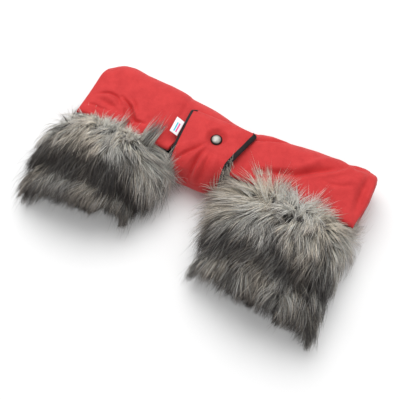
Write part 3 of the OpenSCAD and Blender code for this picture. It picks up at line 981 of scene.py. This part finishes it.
def lay_strands(cuff, rng, turn, w, locks):
    """Single strands gathered towards their locks, with some strays, kept off the flap and the floor."""
    count = len(w)
    roots, normals = cuff.surface(turn, w)
    roots = roots - normals * 0.6
    lock = nearest(roots, locks.roots)
    angle = locks.angle[lock] + rng.normal(0, 0.18, count)
    lift = locks.lift[lock] * rng.uniform(0.8, 1.25, count)
    stray = rng.random(count) < 0.16
    share = rng.uniform(0.60, 1.12, count)
    hair = SimpleNamespace(roots=roots, normals=normals, w=w, angle=angle, back=locks.back[lock], lift=lift,
                           length=locks.length[lock] * share * np.where(stray, 1.2, 1.0),
                           spike=locks.spike[lock], lock=lock, stray=stray, share=share)
    path = cuff.paths(hair)
    gathered = 0.42 + 0.38 * smooth_step(w, 0.78, 0.95) - 0.3 * (1 - smooth_step(w, 0.06, 0.14))
    pull = np.where(stray, 0.1, gathered + rng.uniform(-0.15, 0.15, count))[:, None] * ALONG ** 1.4
    spread = rng.normal(0, 1, (count, 3)) * 0.9
    lock_path = locks.path[lock]
    path = lock_path + (path - lock_path) * (1 - pull)[..., None]
    path = path + spread[:, None, :] * (ALONG * pull)[..., None]
    phase = rng.uniform(0, 6.28, count)
    sway = 0.7 * np.sin(phase[:, None] + 4.0 * ALONG) * ALONG
    path = path + np.cross(normals, [0, 1, 0])[:, None, :] * sway[..., None]
    path = rest_on_flap(path, rng.random(count)[:, None])
    path[..., 2] = np.maximum(path[..., 2], FLOOR + 0.3 + 0.5 * rng.random(count)[:, None])
    for axis, sign, limit in TIP_LIMITS:
        over = np.maximum(sign * path[..., axis] - limit, 0)
        path[..., axis] -= sign * (over - 6 * np.tanh(over / 12))
    hair.path = path
    return hair


def strand_shades(cuff, rng, hair, locks, tufts):
    """Shade of each strand: the cuff's belt, varied by patch, tuft, lock and strand."""
    roots = hair.roots
    where = hair.w + 0.06 * value_noise(roots[:, 0], roots[:, 2], cuff.seed + 5, 30)
    belt = np.interp(where, *zip(*cuff.shape.belt))
    patches = 0.16 * value_noise(roots[:, 0] * 1.6, roots[:, 1] * 0.5, cuff.seed + 3, 13)
    lock_shade = rng.normal(0, 0.20, len(locks.w)) + tufts.shade[locks.tuft]
    vary = patches + lock_shade[hair.lock] + rng.normal(0, 0.24, len(where)) + 0.5 * (hair.share - 0.9)
    shade = belt + vary * np.clip(0.35 + 1.3 * belt, 0.4, 1.0) - 0.3 * hair.spike
    return np.clip(shade, 0.02, 0.98)


def strand_rings(cuff, rng, hair):
    """Rings of points round each strand, at all its places but the tip."""
    count = len(hair.w)
    thick = rng.uniform(0.20, 0.34, count) * np.where(hair.stray, 0.65, 1.0) * 1.0
    thick = thick * (0.65 + 0.35 * smooth_step(hair.w * cuff.length, 3, 14))
    tangent = unit(np.gradient(hair.path, axis=1))[:, :-1]
    across = np.cross(hair.normals, [0, 1, 0]) + rng.normal(0, 0.15, (count, 3))
    first = unit(np.cross(tangent, across[:, None, :]))
    second = np.cross(tangent, first)
    spin = 2 * math.pi * np.arange(SIDES) / SIDES + rng.uniform(0, 6.28, count)[:, None, None]
    radius = (thick[:, None] * TAPER)[..., None]
    return (hair.path[:, :-1, None, :] + first[:, :, None, :] * (np.cos(spin) * radius)[..., None]
            + second[:, :, None, :] * (np.sin(spin) * radius)[..., None])


def corner_map(*corners):
    """Map of faces of one kind, from the u and v arrays of each corner."""
    return np.stack([np.stack(np.broadcast_arrays(u, v), -1) for u, v in corners], -2).reshape(-1, 2)


def strand_mesh(name, rings, tips, column, v):
    """Strands as thin tapered prisms. column is each one's place on the pile's map, with v along it."""
    count, places = len(tips), len(TAPER)
    per = places * SIDES + 1
    points = np.concatenate([rings.reshape(count, -1, 3), tips[:, None, :]], 1).reshape(-1, 3)
    base = (np.arange(count) * per)[:, None]
    j = np.arange(SIDES)
    jn = (j + 1) % SIDES
    ring = base[:, :, None] + (np.arange(places - 1) * SIDES)[:, None]
    quads = np.stack([ring + j, ring + jn, ring + SIDES + jn, ring + SIDES + j], -1).reshape(-1, 4)
    last = base + (places - 1) * SIDES
    ends = np.stack(np.broadcast_arrays(last + j, last + jn, base + per - 1), -1).reshape(-1, 3)
    feet = base + np.arange(SIDES)[::-1]
    u = (column[:, None] + 0.1 + 0.8 * np.arange(SIDES + 1) / SIDES) / (2 * SHADES)
    left, right = u[:, :-1], u[:, 1:]
    low, high = v[:, :-2, None], v[:, 1:-1, None]
    around = ((left, low), (right, low), (right, high), (left, high))
    foot = ((0.8, 0.0), (0.5, 0.02), (0.2, 0.0))
    uv = [corner_map(*((side[:, None], end) for side, end in around)),
          corner_map((left, v[:, -2:-1]), (right, v[:, -2:-1]), ((left + right) / 2, 1.0)),
          corner_map(*(((column + x) / (2 * SHADES), y) for x, y in foot))]
    return mesh_object(name, points, [quads, ends, feet], FUR, uv=np.vstack(uv))


def build_fur(cuff):
    """The pile: separate tapered strands in locks, and locks in tufts, as a few pieces of limited size."""
    rng = np.random.default_rng(cuff.seed)
    turn, w = scatter(cuff, rng, STRANDS)
    count = len(turn)
    tufts = place_tufts(cuff, rng)
    locks = comb_locks(cuff, rng, count // LOCK_STRANDS, tufts)
    hair = lay_strands(cuff, rng, turn, w, locks)
    shade = strand_shades(cuff, rng, hair, locks, tufts)
    rings = strand_rings(cuff, rng, hair)
    cool = value_noise(hair.roots[:, 0], hair.roots[:, 1] - hair.roots[:, 2], cuff.seed + 6, 26)
    cool = cool + rng.normal(0, 0.45, count) > 0
    column = np.floor(shade * SHADES).clip(0, SHADES - 1) + SHADES * cool
    # near the seam the map's dark roots are left out
    bare = 0.26 * (1 - smooth_step(w, 0.08, 0.2))[:, None]
    v = bare + (1 - bare) * ALONG

    chunk = math.ceil(count / (3))
    pieces = []
    for number, start in enumerate(range(0, count, chunk), 1):
        some = slice(start, start + chunk)
        piece = strand_mesh(f"{cuff.side}_cuff_pile_{number}", rings[some], hair.path[some, -1],
                            column[some], v[some])
        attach(piece, "muff")
        if number == 1:
            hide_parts(f"{cuff.side}_cuff_fur")
        pieces.append(piece)
    return pieces


def build_cuff(side):
    """The knitted backing with its hem turned in, the fleece lining over the elastic, and the pile."""
    cuff = Cuff(side)
    around, along = ((180, 44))
    turn = cuff.even_turn(np.linspace(0, 1, around, endpoint=False))[None, :]
    ruffle = np.sin(2 * math.pi * GATHERS * turn)
    bend = np.linspace(0, math.pi, 9)[1:]
    reach = np.concatenate([np.linspace(0, 1, along) * cuff.length, cuff.length + HEM_R * np.sin(bend),
                            cuff.length - np.array([4.0, 8.0])])
    w = reach[:, None] / cuff.length
    inset = np.concatenate([np.zeros(along), HEM_R * (1 - np.cos(bend)), [2 * HEM_R] * 2])[:, None]
    gather = 0.9 * ruffle * smooth_step(w, 1 - 14 / cuff.length, 1.0)
    points, _ = cuff.surface(turn, w, inset + gather)
    points[..., 2] = np.maximum(points[..., 2], FLOOR + 0.1)
    backing = sheet_object(f"{side}_cuff_knit", points[::-1], 0.8, BACKING, wrap_v=True)
    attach(backing, "muff")
    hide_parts(f"{side}_cuff_backing")

    w = np.linspace(1 - 6 / cuff.length, -8 / cuff.length, along)[:, None]
    gather = 0.8 * ruffle * smooth_step(w, 1 - 22 / cuff.length, 1 - 8 / cuff.length)
    soft = value_noise(turn * cuff.around, w * cuff.length, cuff.seed + 9, 22)
    points, _ = cuff.surface(turn, w, 2 * HEM_R + 1.4 + gather + soft)
    lining = sheet_object(f"{side}_cuff_fleece", points[::-1, ::-1], 0.8, FLEECE, wrap_v=True)
    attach(lining, "muff")
    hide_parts(f"{side}_cuff_lining", f"{side}_cuff_elastic")
    pile = build_fur(cuff)


# ---------------- camera, floor and light
def build_stage():
    """A plain pale floor under two soft lamps and a white sky."""
    paper = Shading("floor")
    paper.give(paper.surface, {"Base Color": (0.93, 0.93, 0.93), "Roughness": 0.9})
    reach = 6000.0
    corners = [(x * reach, y * reach, FLOOR) for x, y in ((-1, -1), (1, -1), (1, 1), (-1, 1))]
    mesh_object("floor", corners, [[(0, 1, 2, 3)]], paper.material)

    world = bpy.data.worlds.new("studio")
    bpy.context.scene.world = world
    world.use_nodes = True
    background = world.node_tree.nodes["Background"].inputs
    background["Color"].default_value = (1, 1, 1, 1)
    background["Strength"].default_value = 0.60

    aim = Vector((0, -0.05, 0))
    lamps = (("key", (-0.45, 0.65, 1.7), 1.9, 28.5), ("fill", (1.0, -0.9, 1.4), 1.2, 3))
    for name, spot, size, watts in lamps:
        light = bpy.data.lights.new(name, "AREA")
        light.shape = "DISK"
        light.size = size
        light.energy = watts
        lamp = place(name, light)
        lamp.location = spot
        lamp.rotation_euler = (aim - Vector(spot)).to_track_quat("-Z", "Y").to_euler()


def build_camera():
    """A camera at the photograph's viewing angle, looking down on the muff from its near right."""
    azimuth, elevation, roll = map(math.radians, (26.0, 65.6, -0.6))
    distance, field = 1.030, math.radians(31.4)
    aim = Vector((0.007, -0.105, -0.010))
    back = Vector((math.sin(azimuth) * math.cos(elevation), -math.cos(azimuth) * math.cos(elevation),
                   math.sin(elevation)))
    camera = bpy.data.cameras.new("camera")
    camera.sensor_width = 36
    camera.lens = camera.sensor_width / 2 / math.tan(field / 2)
    camera.clip_start = 0.01
    view = place("camera", camera)
    view.location = aim + back * distance
    look = (-back).to_track_quat("-Z", "Y").to_matrix()
    view.rotation_euler = (look @ Matrix.Rotation(roll, 3, "Z")).to_euler()
    bpy.context.scene.camera = view


build_camera()
build_stage()
bpy.context.scene.view_settings.view_transform = "Standard"
build_panel()
build_flap()
build_snap()
build_label()
for side in CUFF_SHAPES:
    build_cuff(side)
